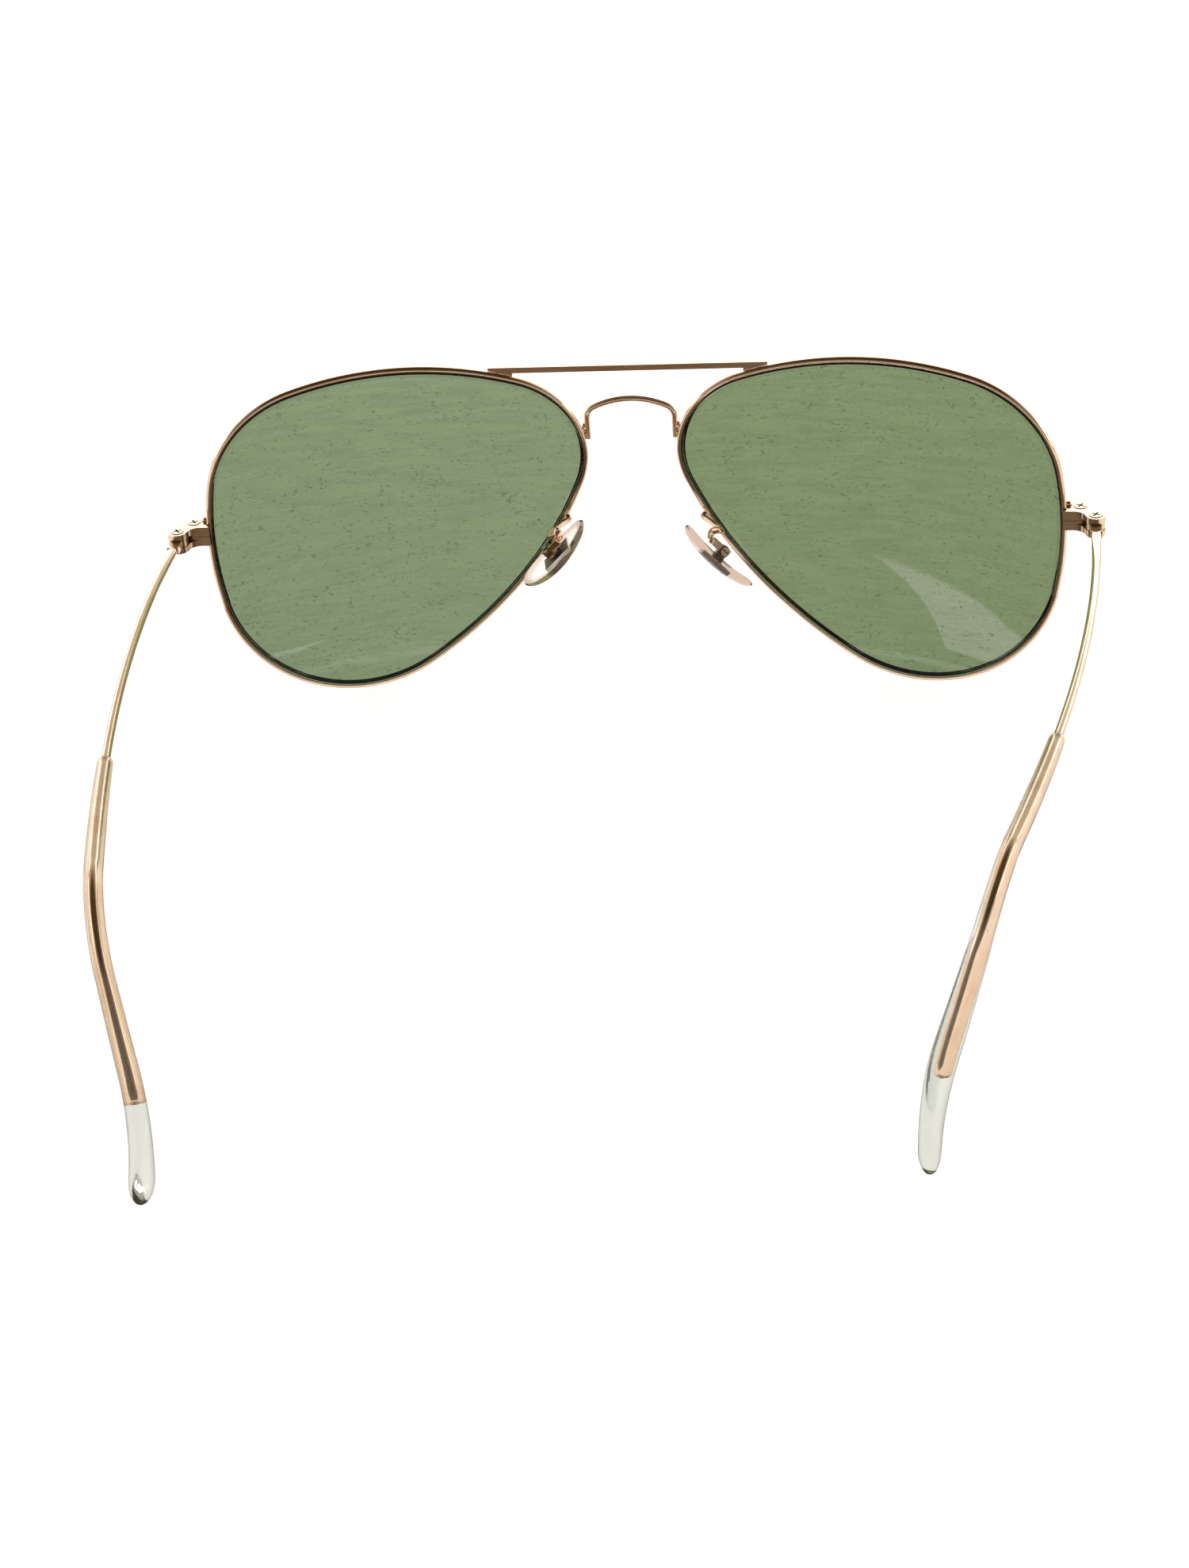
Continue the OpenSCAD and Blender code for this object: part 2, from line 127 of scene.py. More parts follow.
def fan_caps(verts, faces, n, tips):
    """The same skin with its two flat caps replaced by fans to a point each."""
    starts = (0, len(verts) - n)
    faces = faces[:-2]
    for start, tip in zip(starts, tips):
        verts.append(tip)
        hub = len(verts) - 1
        faces += [(start + j, start + (j + 1) % n, hub) for j in range(n)]
    return verts, faces


def join(*parts):
    """One list of points and faces from several closed skins."""
    verts, faces = [], []
    for v, f in parts:
        base = len(verts)
        verts += list(v)
        faces += [tuple(i + base for i in face) for face in f]
    return verts, faces


def ramp(s, s0, s1, a, b):
    """Value that goes from a to b while s goes from s0 to s1."""
    return a + (b - a) * max(0.0, min(1.0, (s - s0) / (s1 - s0)))


def catmull(points, n):
    """Smooth curve through the points, n steps a span."""
    p = [Vector(q) for q in points]
    out = []
    for i in range(len(p) - 1):
        a, b, c, d = p[max(i - 1, 0)], p[i], p[i + 1], p[min(i + 2, len(p) - 1)]
        for k in range(n):
            t = k / n
            out.append(0.5 * (2 * b + (c - a) * t + (2 * a - 5 * b + 4 * c - d) * t * t
                              + (3 * b - a - 3 * c + d) * t ** 3))
    out.append(p[-1])
    return out


def superellipse(w, h, power, n):
    """Ring of (x, y) with half sizes w and h; a higher power is squarer."""
    ring = []
    for k in range(n):
        a = 2 * math.pi * k / n
        c, s = math.cos(a), math.sin(a)
        ring.append((w * math.copysign(abs(c) ** (2 / power), c),
                     h * math.copysign(abs(s) ** (2 / power), s)))
    return ring


# ---------------------------------------------------------------- node materials
def material(name, **values):
    """A material with its Principled shader's constant sockets set."""
    mat = bpy.data.materials.new(name)
    mat.use_nodes = True
    shader = mat.node_tree.nodes["Principled BSDF"]
    for key, value in values.items():
        shader.inputs[key.replace("_", " ")].default_value = value
    return mat, mat.node_tree, shader


def node(tree, kind, **settings):
    """A new shader node with its settings."""
    made = tree.nodes.new("ShaderNode" + kind)
    for key, value in settings.items():
        setattr(made, key, value)
    return made


def noise(tree, coords, scale, detail=3.0, rough=0.5, stretch=None, distort=0.0):
    """Noise factor at a scale in cycles per metre, optionally stretched along an axis."""
    tex = node(tree, "TexNoise")
    tex.inputs["Scale"].default_value = scale
    tex.inputs["Detail"].default_value = detail
    tex.inputs["Roughness"].default_value = rough
    tex.inputs["Distortion"].default_value = distort
    source = coords
    if stretch:
        mapping = node(tree, "Mapping")
        mapping.inputs["Rotation"].default_value = stretch[0]
        mapping.inputs["Scale"].default_value = stretch[1]
        tree.links.new(coords, mapping.inputs["Vector"])
        source = mapping.outputs["Vector"]
    tree.links.new(source, tex.inputs["Vector"])
    return tex.outputs["Fac"]


def fit(tree, value, a, b, lo, hi):
    """Value from a..b mapped smoothly to lo..hi."""
    remap = node(tree, "MapRange", interpolation_type="SMOOTHSTEP")
    for key, v in zip(("From Min", "From Max", "To Min", "To Max"), (a, b, lo, hi)):
        remap.inputs[key].default_value = v
    tree.links.new(value, remap.inputs["Value"])
    return remap.outputs["Result"]


def mix(tree, factor, a, b):
    """Colour a where factor is 0 and b where it is 1; each is a colour or a socket."""
    blend = node(tree, "Mix", data_type="RGBA")
    tree.links.new(factor, blend.inputs[0])
    for socket, colour in ((blend.inputs[6], a), (blend.inputs[7], b)):
        if isinstance(colour, bpy.types.NodeSocket):
            tree.links.new(colour, socket)
        else:
            socket.default_value = (*colour, 1)
    return blend.outputs[2]


def math_node(tree, operation, a, b):
    """Result of a sum on two values or sockets."""
    made = node(tree, "Math", operation=operation)
    for socket, v in zip(made.inputs, (a, b)):
        if isinstance(v, bpy.types.NodeSocket):
            tree.links.new(v, socket)
        else:
            socket.default_value = v
    return made.outputs[0]


def bump(tree, shader, height, strength, distance):
    made = node(tree, "Bump")
    made.inputs["Strength"].default_value = strength
    made.inputs["Distance"].default_value = distance
    tree.links.new(height, made.inputs["Height"])
    tree.links.new(made.outputs["Normal"], shader.inputs["Normal"])


def object_coords(tree):
    """Coordinates that ride with the object, in metres."""
    return node(tree, "TexCoord").outputs["Object"]


def metal(name, light, deep, rough_lo, rough_hi, hollow_shade=None):
    """Plated wire: slow colour drift, fine polishing marks, a few dull spots and, when a hollow shade is
    given, painted shade in its hollows.
    """
    mat, tree, shader = material(name, Metallic=1.0)
    at = object_coords(tree)
    drift = noise(tree, at, 140, 4, 0.6)
    spots = fit(tree, noise(tree, at, 1700, 3, 0.6), 0.66, 0.72, 0.0, 1.0)
    colour = mix(tree, fit(tree, drift, 0.35, 0.65, 0.0, 1.0), light, deep)
    worn = tuple(0.62 * c for c in deep)
    colour = mix(tree, math_node(tree, "MULTIPLY", spots, 0.55), colour, worn)
    # Painted shade: where the AO node finds a hollow or crevice, the colour turns towards the given shade
    # colour.
    if hollow_shade:
        hollow = node(tree, "AmbientOcclusion", samples=6)
        hollow.inputs["Distance"].default_value = 0.0009
        open_share = fit(tree, hollow.outputs["AO"], 0.35, 0.94, 0.0, 1.0)
        colour = mix(tree, open_share, hollow_shade, colour)
    tree.links.new(colour, shader.inputs["Base Color"])
    fine = noise(tree, at, 5200, 4, 0.65)
    streaks = noise(tree, at, 900, 5, 0.7, ((0.3, 0.2, 0.5), (1.0, 9.0, 9.0)))
    rough = math_node(tree, "ADD", fit(tree, streaks, 0.3, 0.7, rough_lo, rough_hi),
                      math_node(tree, "MULTIPLY", spots, 0.12))
    tree.links.new(rough, shader.inputs["Roughness"])
    height = math_node(tree, "ADD", fine, math_node(tree, "MULTIPLY", streaks, 0.6))
    bump(tree, shader, height, 0.04, 0.00002)
    return mat


# Painted shade colour for the hollows of the blocks and screws; the nickel insert passes its own.
PAINTED_HOLLOW_SHADE = (0.16, 0.085, 0.035)
GOLD = metal("plated_gold", (0.95, 0.71, 0.52), (0.86, 0.60, 0.41), 0.08, 0.16)
GOLD_BLOCK = metal("plated_gold_blocks", (0.94, 0.72, 0.52), (0.85, 0.61, 0.41), 0.09, 0.18, PAINTED_HOLLOW_SHADE)
SCREW = metal("plated_screws", (0.95, 0.74, 0.54), (0.84, 0.62, 0.43), 0.10, 0.20, PAINTED_HOLLOW_SHADE)
NICKEL = metal("nickel_insert", (0.62, 0.58, 0.54), (0.48, 0.45, 0.42), 0.22, 0.38, (0.10, 0.08, 0.06))


def lens_material(name, tint, patch_seed):
    """Green glass with specks of dust, faint smears, hairline scratches and a painted shade band along its
    border.
    """
    mat, tree, shader = material(name, IOR=1.523, Transmission_Weight=1.0)
    at = object_coords(tree)
    shift = node(tree, "Mapping")
    shift.inputs["Location"].default_value = (patch_seed, 0.37 * patch_seed, 0.81 * patch_seed)
    tree.links.new(at, shift.inputs["Vector"])
    at = shift.outputs["Vector"]
    speck_size = fit(tree, noise(tree, at, 260, 2, 0.5), 0.35, 0.7, 0.70, 0.64)
    grains = noise(tree, at, 1500, 2, 0.5, ((0, 0, 0), (1, 1, 1.6)))
    specks = math_node(tree, "GREATER_THAN", grains, speck_size)
    grit = fit(tree, noise(tree, at, 700, 4, 0.7), 0.69, 0.73, 0.0, 1.0)
    smear = fit(tree, noise(tree, at, 150, 6, 0.72, ((0, 0.12, 0), (1, 1, 7)), 0.6), 0.40, 0.66, 0.0, 1.0)
    hair = noise(tree, at, 95, 2, 0.5, ((0, -0.85, 0), (1, 1, 16)), 0.35)
    line = fit(tree, math_node(tree, "ABSOLUTE", math_node(tree, "SUBTRACT", hair, 0.5), 0.0),
               0.0, 0.006, 1.0, 0.0)
    patch = fit(tree, noise(tree, at, 42, 2, 0.5), 0.54, 0.66, 0.0, 1.0)
    scratch = math_node(tree, "MULTIPLY", line, patch)
    dull = tuple(0.84 * c for c in tint)
    dusty = tuple(0.30 * c for c in tint)
    colour = mix(tree, smear, tint, dull)
    colour = mix(tree, math_node(tree, "MULTIPLY", grit, 0.8), colour, dusty)
    colour = mix(tree, math_node(tree, "MULTIPLY", specks, 0.8), colour, dusty)
    colour = mix(tree, math_node(tree, "MULTIPLY", scratch, 0.7), colour, dusty)
    # Painted shade: the marked border rings of the glass, just inside the rim, are tinted darker.
    border = node(tree, "Attribute", attribute_name="edge").outputs["Fac"]
    colour = mix(tree, border, colour, tuple(0.72 * c for c in tint))
    tree.links.new(colour, shader.inputs["Base Color"])
    dust = math_node(tree, "MAXIMUM", math_node(tree, "MAXIMUM", grit, scratch), specks)
    rough = math_node(tree, "ADD", math_node(tree, "MULTIPLY", dust, 0.25),
                      math_node(tree, "MULTIPLY", smear, 0.02))
    tree.links.new(rough, shader.inputs["Roughness"])
    bump(tree, shader, dust, 0.05, 0.00001)
    return mat


GLASS = {1: lens_material("green_glass_left", (0.200, 0.262, 0.150), 0.3),
         -1: lens_material("green_glass_right", (0.185, 0.245, 0.130), 1.7)}


def plastic(name, clear, cloudy, edge, through, ior, rough_lo, rough_hi, haze, depth):
    """Clear moulding with painted shade where it is seen edge-on and on its marked edge band, with cloudiness
    and scuffs.
    """
    mat, tree, shader = material(name, IOR=ior, Transmission_Weight=through)
    at = object_coords(tree)
    cloud = fit(tree, noise(tree, at, 170, 4, 0.6), 0.35, 0.7, 0.0, 1.0)
    # Painted shade: where the surface turns edge-on to the view, and on the marked band, the colour goes to
    # the edge colour.
    rim = node(tree, "LayerWeight")
    rim.inputs["Blend"].default_value = 0.5
    turned = fit(tree, rim.outputs["Facing"], 0.45, 0.95, 0.0, 1.0)
    band = node(tree, "Attribute", attribute_name="edge").outputs["Fac"]
    edge_on = math_node(tree, "MAXIMUM", turned, band)
    tree.links.new(mix(tree, edge_on, mix(tree, cloud, clear, cloudy), edge), shader.inputs["Base Color"])
    scuffs = fit(tree, noise(tree, at, 1600, 4, 0.65), 0.55, 0.75, 0.0, 1.0)
    rough = math_node(tree, "ADD", fit(tree, cloud, 0.0, 1.0, rough_lo, rough_hi),
                      math_node(tree, "MULTIPLY", scuffs, haze))
    tree.links.new(rough, shader.inputs["Roughness"])
    bump(tree, shader, noise(tree, at, 700, 3, 0.5), 0.04, 0.00004)
    inside = node(tree, "VolumeAbsorption")
    inside.inputs["Color"].default_value = (*depth[0], 1)
    inside.inputs["Density"].default_value = depth[1]
    tree.links.new(inside.outputs[0], tree.nodes["Material Output"].inputs["Volume"])
    return mat


# The third colour of each is the painted shade of its edge-on faces.
SLEEVE = plastic("clear_sleeve", (0.98, 0.98, 0.97), (0.93, 0.93, 0.91), (0.60, 0.59, 0.55), 0.97,
                 1.40, 0.02, 0.06, 0.06, ((0.86, 0.87, 0.84), 380.0))
PADS = plastic("clear_pad", (1.0, 0.99, 0.97), (0.99, 0.96, 0.93), (0.58, 0.44, 0.34), 0.97,
               1.16, 0.02, 0.08, 0.05, ((0.90, 0.82, 0.76), 130.0))


# ---------------------------------------------------------------- lens outline on its sphere
def arc_centres():
    a = math.radians(ARC_FIRST)
    centre = Vector(ARC_START) - ARCS[0][0] * Vector((math.cos(a), math.sin(a)))
    centres = [centre]
    for i in range(1, len(ARCS)):
        a = math.radians(ARCS[i - 1][1])
        centre = centre + (ARCS[i - 1][0] - ARCS[i][0]) * Vector((math.cos(a), math.sin(a)))
        centres.append(centre)
    return centres


CENTRES = arc_centres()


def outline_frames(step):
    """(arc centre, radius, direction) all round the lens, a few degrees apart."""
    frames = []
    start = ARC_FIRST
    for (radius, end), centre in zip(ARCS, CENTRES):
        n = max(2, math.ceil((end - start) / step * max(1.0, radius / 30)))
        for k in range(n):
            a = math.radians(start + (end - start) * k / n)
            frames.append((centre, radius, Vector((math.cos(a), math.sin(a)))))
        start = end
    return frames


OUTLINE = outline_frames(3.2)
TURN = Matrix.Rotation(FACE_WRAP, 3, "Z")


def on_lens(x, z, depth, side):
    """Point of the curved sheet at lens coordinates x, z; depth is towards the wearer."""
    r = CURVE_R - depth
    y = CURVE_R - math.sqrt(r * r - x * x - z * z)
    p = TURN @ Vector((x, y, z)) + Vector((LENS_X, 0, LENS_UP)) + FRONT
    return mirror(p, side)


def rim_section():
    """(outward, depth) points of the rim wire: a rounded back with a groove for the glass."""
    points = []
    n = 16
    for k in range(n + 1):
        a = math.pi * (0.5 - k / n)
        c, s = math.cos(a), math.sin(a)
        points.append((0.10 + (RIM_W - 0.13) * c, (RIM_D / 2 - 0.03) * s))
    half = RIM_D / 2
    inner = [(0.03, -half + 0.05), (0.0, -half + 0.14), (0.0, -0.5), (0.05, -0.44), (GROOVE, -0.40),
             (GROOVE, 0.40), (0.05, 0.44), (0.0, 0.5), (0.0, half - 0.14), (0.03, half - 0.05)]
    return points + inner


def swept_on_outline(section, side):
    """The section carried all round the lens outline."""
    rings = []
    for centre, radius, way in OUTLINE:
        ring = []
        for out, depth in section:
            p = centre + (radius + out) * way
            ring.append(on_lens(p.x, p.y, depth, side))
        rings.append(ring)
    return skin(rings, loop=True)


def lens_mesh(side):
    """Curved glass: two faces joined by a stepped edge that sits in the rim's groove."""
    half = LENS_T / 2 - 0.01  # stays within the CAD lens
    middle = sum((c + r * w for c, r, w in OUTLINE), Vector((0, 0))) / len(OUTLINE)
    edge = [(-0.60, half), (-0.52, half), (-0.18, half), (-0.09, half - 0.03), (-0.05, half - 0.10),
            (-0.04, 0.42), (0.02, 0.38), (GROOVE - 0.06, 0.30), (GROOVE - 0.06, -0.30), (0.02, -0.38),
            (-0.04, -0.42), (-0.05, -half + 0.10), (-0.09, -half + 0.03), (-0.18, -half), (-0.60, -half)]
    shares = [0.06, 0.14, 0.24, 0.34, 0.44, 0.54, 0.64, 0.74, 0.84, 0.92, 0.97]
    spec = [(share, -0.60, half) for share in shares]
    spec += [(1.0, out, depth) for out, depth in edge]
    spec += [(share, -0.60, -half) for share in reversed(shares)]
    rings = []
    for share, out, depth in spec:
        ring = []
        for centre, radius, way in OUTLINE:
            p = middle + ((centre + (radius + out) * way) - middle) * share
            ring.append(on_lens(p.x, p.y, depth, side))
        rings.append(ring)
    tips = [on_lens(middle.x, middle.y, depth, side) for depth in (half, -half)]
    return fan_caps(*skin(rings), len(OUTLINE), tips)


def mark_border(made, rings, n, value=1.0):
    """Set the "edge" attribute on some rings of n vertices, where a painted shade makes the piece darker."""
    border = made.data.attributes.new("edge", "FLOAT", "POINT")
    for i in range(rings[0] * n, rings[1] * n):
        border.data[i].value = value


# ---------------------------------------------------------------- temples
def temple_line(s, side):
    """Middle of the temple at length s: a bowed run, the ear bend and a straight end flicked outwards."""
    bend, rise = SET[side][:2]
    b = math.radians(bend)
    r = BEND_LEN / b
    slope = max(0.0, min(1.0, (s - BEND_START) / BEND_LEN)) * b
    past = max(0.0, s - BEND_END)
    run = min(s, BEND_START) + r * math.sin(slope) + past * math.cos(b)
    drop = r * (1 - math.cos(slope)) + past * math.sin(b)
    out = FLICK * (max(0.0, s - FLICK_FROM) / 16) ** 2 - BOW[0] * (s / 100) ** 2 - BOW[1] * (s / 100) ** 3
    return Vector((out, run, run * math.sin(math.radians(rise)) - drop))


def temple_ring(s, side, w, h, power=2.0, n=20):
    """Ring across the temple at length s, placed in the CAD frame."""
    p = temple_line(s, side)
    t = (temple_line(s + 0.05, side) - temple_line(s - 0.05, side)).normalized()
    u = t.cross(Vector((0, 0, 1))).normalized()
    v = u.cross(t)
    turn = Matrix.Rotation(-math.radians(SET[side][2]), 3, "Z")
    at = FRONT + Vector((HINGE_X, HINGE_Y, HINGE_Z))
    return [mirror(turn @ (p + u * a + v * b) + at, side) for a, b in superellipse(w, h, power, n)]


def core_w(s):
    """Half width of the wire; past the bend it is flattened upright."""
    return ramp(s, NECK, 14, 0.75, 0.625) + ramp(s, BEND_START, BEND_END, 0, -0.12)


def core_h(s):
    """Half height of the wire."""
    return ramp(s, NECK, 14, 0.5, 0.625) + ramp(s, BEND_START, BEND_END, 0, 0.62)


def sleeve_w(s):
    """Half width of the sleeve."""
    return ramp(s, SLEEVE_START, 80, 1.08, 1.22) + ramp(s, BEND_END, 120, 0, 0.2)


def sleeve_h(s):
    """Half height of the sleeve, which widens into a paddle past the bend."""
    return ramp(s, SLEEVE_START, 80, 1.08, 1.22) + ramp(s, 88, 118, 0, 1.55)


def steps(a, b, n):
    """n equal steps from a to b, ends included."""
    return [a + (b - a) * k / n for k in range(n + 1)]


def wire_mesh(side):
    """Temple wire: squarish at the hinge, round along the temple, flat inside the sleeve."""
    rings = []
    last = CORE_END - CORE_TIP
    stations = steps(NECK - 0.05, 14, 8) + steps(14, 86, 34)[1:] + steps(86, 104, 26)[1:]
    stations += steps(104, last, 10)[1:]
    for s in stations:
        power = ramp(s, 4, 13, 3.2, 2.0) + ramp(s, 88, 104, 0.0, 1.2)
        rings.append(temple_ring(s, side, core_w(s), core_h(s), power))
    for a in (20, 40, 60, 75, 86):
        c, q = math.cos(math.radians(a)), math.sin(math.radians(a))
        s = last + 0.65 * q
        rings.append(temple_ring(s, side, core_w(s) * c, core_h(s) * (0.35 + 0.65 * c), 2.6))
    return skin(rings)


def sleeve_mesh(side):
    """Sleeve with a rounded mouth on the wire and a round end."""
    rings = []
    for a in (0.62, 0.72, 0.82, 0.9, 0.96, 1.0):
        s = SLEEVE_START + 1.2 * (1 - math.sqrt(max(0, 1 - a ** 2)))
        rings.append(temple_ring(s, side, a * sleeve_w(s), a * sleeve_h(s), 2.0, 28))
    last = TEMPLE_LEN - END_R
    for s in steps(SLEEVE_START + 1.5, last - 0.4, 64):
        rings.append(temple_ring(s, side, sleeve_w(s), sleeve_h(s), ramp(s, 90, 112, 2.0, 2.25), 28))
    for a in (0, 12, 24, 36, 48, 58, 68, 77, 84, 88):
        c, q = math.cos(math.radians(a)), math.sin(math.radians(a))
        s = last + (END_R - 0.03) * q
        rings.append(temple_ring(s, side, sleeve_w(s) * c, sleeve_h(s) * c, 2.25, 28))
    return skin(rings)


# ---------------------------------------------------------------- nose pads and their arms
def pad_front(p, side):
    """Point of the pad measured from the front's centre, before mirroring."""
    at, turn = PAD[side]
    lean = Matrix.Rotation(math.radians(-PAD_LEAN), 3, "Y")
    m = lean @ Matrix.Rotation(math.radians(turn - 90), 3, "Z")
    return m @ Vector(p) + Vector(at)


def pad_place(p, side):
    """Point of the pad in the CAD frame."""
    return mirror(pad_front(p, side) + FRONT, side)


PAD_STEPS = 48


def pad_mesh(side):
    """Egg-shaped cushion, bowed towards the nose, with a fully rounded edge."""
    spec = [0.12, 0.28, 0.44, 0.58, 0.70, 0.80, 0.88, 0.94, 0.98, 1.0]
    levels = [(q, 1) for q in spec] + [(q, -1) for q in reversed(spec[:-1])]
    rings = []
    for share, face in levels:
        thick = PAD_T / 2 * (1 - share ** 5) ** 0.5
        ring = []
        for k in range(PAD_STEPS):
            a = 2 * math.pi * k / PAD_STEPS
            x = share * PAD_W / 2 * math.cos(a) * (1 - 0.16 * math.sin(a))
            z = share * PAD_LEN / 2 * math.sin(a)
            r = PAD_R + face * thick
            ring.append(pad_place((x, PAD_R - math.sqrt(r * r - x * x - z * z), z), side))
        rings.append(ring)
    tips = [pad_place((0, -face * PAD_T / 2, 0), side) for face in (1, -1)]
    return fan_caps(*skin(rings), PAD_STEPS, tips)


def ball(centre, radii, side, n=14):
    """Closed round bead with half sizes along x, y and z."""
    rings = []
    for i in range(1, n // 2):
        a = math.pi * i / (n // 2)
        ring = []
        for k in range(n):
            b = 2 * math.pi * k / n
            p = (centre[0] + radii[0] * math.sin(a) * math.cos(b),
                 centre[1] + radii[1] * math.sin(a) * math.sin(b),
                 centre[2] + radii[2] * math.cos(a))
            ring.append(mirror(Vector(p) + FRONT, side))
        rings.append(ring)
    return skin(rings)


def arm_mesh(side):
    """Flat strip from the rim around a U-bend to the fork, with a bead of solder at the rim."""
    from_rim = ((10.2, 0.6, 0.1), (11.2, 1.4, -0.15), (12.3, 2.6, -0.45), (13.25, 3.8, -0.5))
    points = [Vector(p) for p in from_rim]
    points += [pad_front(p, side) for p in ((0, STEM + 1.15, 3.3), (0, STEM + 0.2, 2.95),
                                            (0, STEM + 0.06, FORK_TOP - 0.05))]
    line = catmull(points, 10)
    rings = []
    for i, p in enumerate(line):
        d = (line[min(i + 1, len(line) - 1)] - line[max(i - 1, 0)]).normalized()
        n = d.cross(Vector((-0.35, 0.1, 1))).normalized()
        u = n.cross(d)
        rings.append([mirror(p + u * a + n * b + FRONT, side) for a, b in superellipse(0.6, 0.25, 4.0, 20)])
    solder = ball((10.45, 0.5, 0.3), (0.62, 0.58, 0.62), side, 18)
    return join(skin(rings), solder)


# ---------------------------------------------------------------- bridge
# Legs: distance from the middle and lowest point; then the arch, its corners and the wire's radius.
LEG_X, LEG_LOW, ARCH_R, ARCH_TOP, CORNER_R, BRIDGE_R = 6.6, 13.4, 12.5, 19.8, 1.9, 0.46


def arc(cx, cz, r, a0, a1, n):
    """(x, z) points of an arc between two angles in degrees."""
    return [(cx + r * math.cos(math.radians(a)), cz + r * math.sin(math.radians(a)))
            for a in steps(a0, a1, n)]


def bridge_mesh():
    """Arched wire on two upright legs, with the brazing that holds each leg to its rim."""
    arch_z = ARCH_TOP - ARCH_R
    corner_z = arch_z + math.sqrt((ARCH_R - CORNER_R) ** 2 - (LEG_X - CORNER_R) ** 2)
    corner_a = math.degrees(math.acos((LEG_X - CORNER_R) / (ARCH_R - CORNER_R)))

    line = [(LEG_X, LEG_LOW), (LEG_X, LEG_LOW + 0.06), (LEG_X, (LEG_LOW + corner_z) / 2)]
    line += arc(LEG_X - CORNER_R, corner_z, CORNER_R, 0, corner_a, 12)
    line += arc(0, arch_z, ARCH_R, corner_a + 3, 177 - corner_a, 30)
    line += arc(CORNER_R - LEG_X, corner_z, CORNER_R, 180 - corner_a, 180, 12)
    line += [(-LEG_X, (LEG_LOW + corner_z) / 2), (-LEG_X, LEG_LOW + 0.06), (-LEG_X, LEG_LOW)]
    rings = []
    for i, (x, z) in enumerate(line):
        a, b = line[max(i - 1, 0)], line[min(i + 1, len(line) - 1)]
        t = Vector((b[0] - a[0], 0, b[1] - a[1])).normalized()
        out = Vector((t.z, 0, -t.x))
        r = BRIDGE_R * (0.86 if i in (0, len(line) - 1) else 1.0)
        ring = []
        for k in range(20):
            q = 2 * math.pi * k / 20
            ring.append(Vector((x, 0, z)) + out * r * math.cos(q) + Vector((0, r * math.sin(q), 0)) + FRONT)
        rings.append(ring)
    beads = [ball((LEG_X + 0.42, 0.0, LEG_LOW + 1.5), (0.5, 0.52, 1.15), side, 16) for side in (1, -1)]
    return join(skin(rings), *beads)


# ---------------------------------------------------------------- pieces
def piece(name, mesh, mat, body, slot, cad_node):
    """A finer mesh that takes the place of a CAD node and rides on its body."""
    made = make(name, *mesh, mat)
    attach(made, body)
    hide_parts(cad_node)
    return made


# First ring, and the ring after the last, of the lens's border band and the pad's edge band, which carry a
# painted shade.
GLASS_BORDER, PAD_BAND = (12, 16), (6, 13)

for side, word in SIDES:
    bead = ball(BEAD_AT, BEAD_SIZE, side, 16)
    rim = join(swept_on_outline(rim_section(), side), bead)
    piece("rim_wire_" + word, rim, GOLD, "front", "gold_metal", "rim_" + word)
    glass = piece("glass_" + word, lens_mesh(side), GLASS[side], "front", "lens_glass", "lens_" + word)
    mark_border(glass, GLASS_BORDER, len(OUTLINE))
    piece("wire_" + word, wire_mesh(side), GOLD, "temple_" + word, "gold_metal", "temple_wire_" + word)
    piece("sleeve_" + word, sleeve_mesh(side), SLEEVE, "temple_" + word, "clear_sleeve", "temple_tip_" + word)
    pad = piece("pad_" + word, pad_mesh(side), PADS, "pad_" + word, "clear_pad", "nose_pad_" + word)
    mark_border(pad, PAD_BAND, PAD_STEPS, 0.85)
    piece("arm_" + word, arm_mesh(side), GOLD, "front", "gold_metal", "pad_arm_" + word)
piece("bridge_wire", bridge_mesh(), GOLD, "front", "gold_metal", "bridge")

# CAD nodes that keep their shape get their finish and broken edges of a width in mm.
KEPT = {"top_bar": (GOLD, 0.14), "upper_block": (GOLD_BLOCK, 0.09), "lower_block": (GOLD_BLOCK, 0.09),
        "knuckle": (GOLD_BLOCK, 0.07), "lock_screw": (SCREW, 0.17), "hinge_screw": (SCREW, 0.17),
        "pad_box": (GOLD_BLOCK, 0.07), "pad_screw": (SCREW, 0.05), "pad_insert": (NICKEL, 0.08)}
for name, node_object in frame["nodes"].items():
    for key, (mat, width) in KEPT.items():
        if not name.startswith(key):
            continue
        node_object.data.materials.clear()
        node_object.data.materials.append(mat)
        bevel = node_object.modifiers.new("broken_edges", "BEVEL")
        bevel.width = width * MM
        bevel.segments = 3
        bevel.limit_method = "ANGLE"
        bevel.angle_limit = math.radians(40)
        bevel.harden_normals = False

# ---------------------------------------------------------------- floor, light and camera
# Floor as polished metal and glass mirror it: centre and half size in metres of the dim zone.
DIM_AT, DIM_HALF = (0, 0.045, 0), (0.115, 0.100, 1)
NEAR_COLOUR, FAR_COLOUR, PALE_COLOUR = (0.045, 0.028, 0.013), (0.16, 0.120, 0.085), (0.95, 0.93, 0.90)
# Bright strip between the temples, which shows as the light patch low in the right lens.
STRIP_AT, STRIP_HALF, STRIP_TURN = (-0.0030, 0.0068, 0), (0.0030, 0.0205, 1), math.radians(-33)
STRIP_COLOUR = (2.0, 1.96, 2.05)
FLOOR_HALF, FLOOR_Z = 3000, -0.02


def within(tree, at, half, turn=0.0):
    """Floor coordinates in which a zone reaches from -1 to 1 each way."""
    mapping = node(tree, "Mapping", vector_type="TEXTURE")
    mapping.inputs["Location"].default_value = at
    mapping.inputs["Rotation"].default_value = (0, 0, turn)
    mapping.inputs["Scale"].default_value = half
    tree.links.new(object_coords(tree), mapping.inputs["Vector"])
    return mapping.outputs["Vector"]


def parts_of(tree, vector):
    """The x, y and z of a vector."""
    made = node(tree, "SeparateXYZ")
    tree.links.new(vector, made.inputs[0])
    return made.outputs


